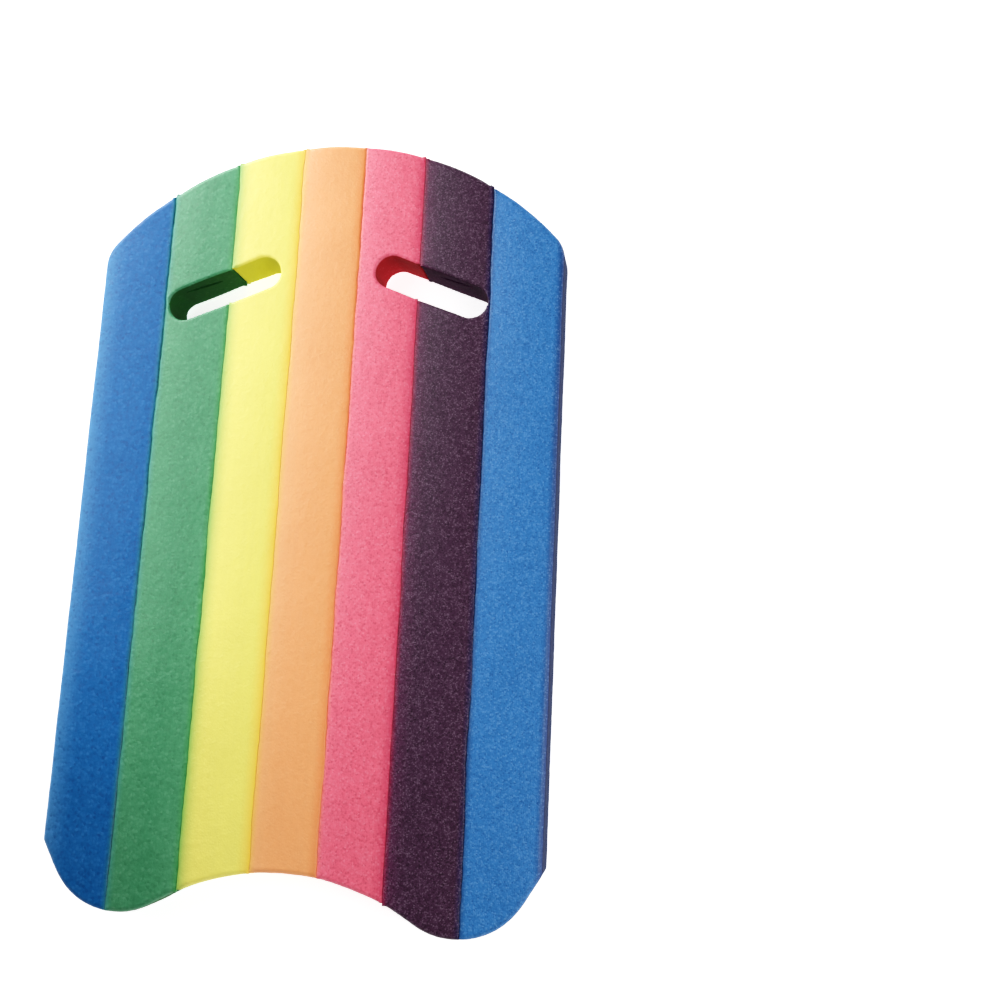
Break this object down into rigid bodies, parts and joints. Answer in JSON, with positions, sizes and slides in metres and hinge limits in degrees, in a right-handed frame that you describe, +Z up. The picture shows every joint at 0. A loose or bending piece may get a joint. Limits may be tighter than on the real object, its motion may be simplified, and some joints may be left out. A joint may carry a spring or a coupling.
{
  "type": "kickboard float",
  "caption": "Swimming kickboard of coloured foam planks welded side by side, with a round nose, a hollowed two-lobed tail and slanted hand slots.",
  "frame": {"origin": "centre of the underside, the bottom centre of the bounding box", "axes": "+Z up through the board's thickness, +Y along the planks to the round nose, +X to the right seen from above"},
  "size_m": [0.285, 0.454, 0.028],
  "materials": {
    "blue_foam": "matte closed-cell foam",
    "green_foam": "matte closed-cell foam",
    "yellow_foam": "matte closed-cell foam",
    "orange_foam": "matte closed-cell foam",
    "pink_foam": "matte closed-cell foam",
    "purple_foam": "matte closed-cell foam"
  },
  "bodies": {
    "root": {"left_blue_plank": "blue_foam", "green_plank": "green_foam", "yellow_plank": "yellow_foam", "orange_plank": "orange_foam", "pink_plank": "pink_foam", "purple_plank": "purple_foam", "right_blue_plank": "blue_foam"}
  },
  "joints": []
}
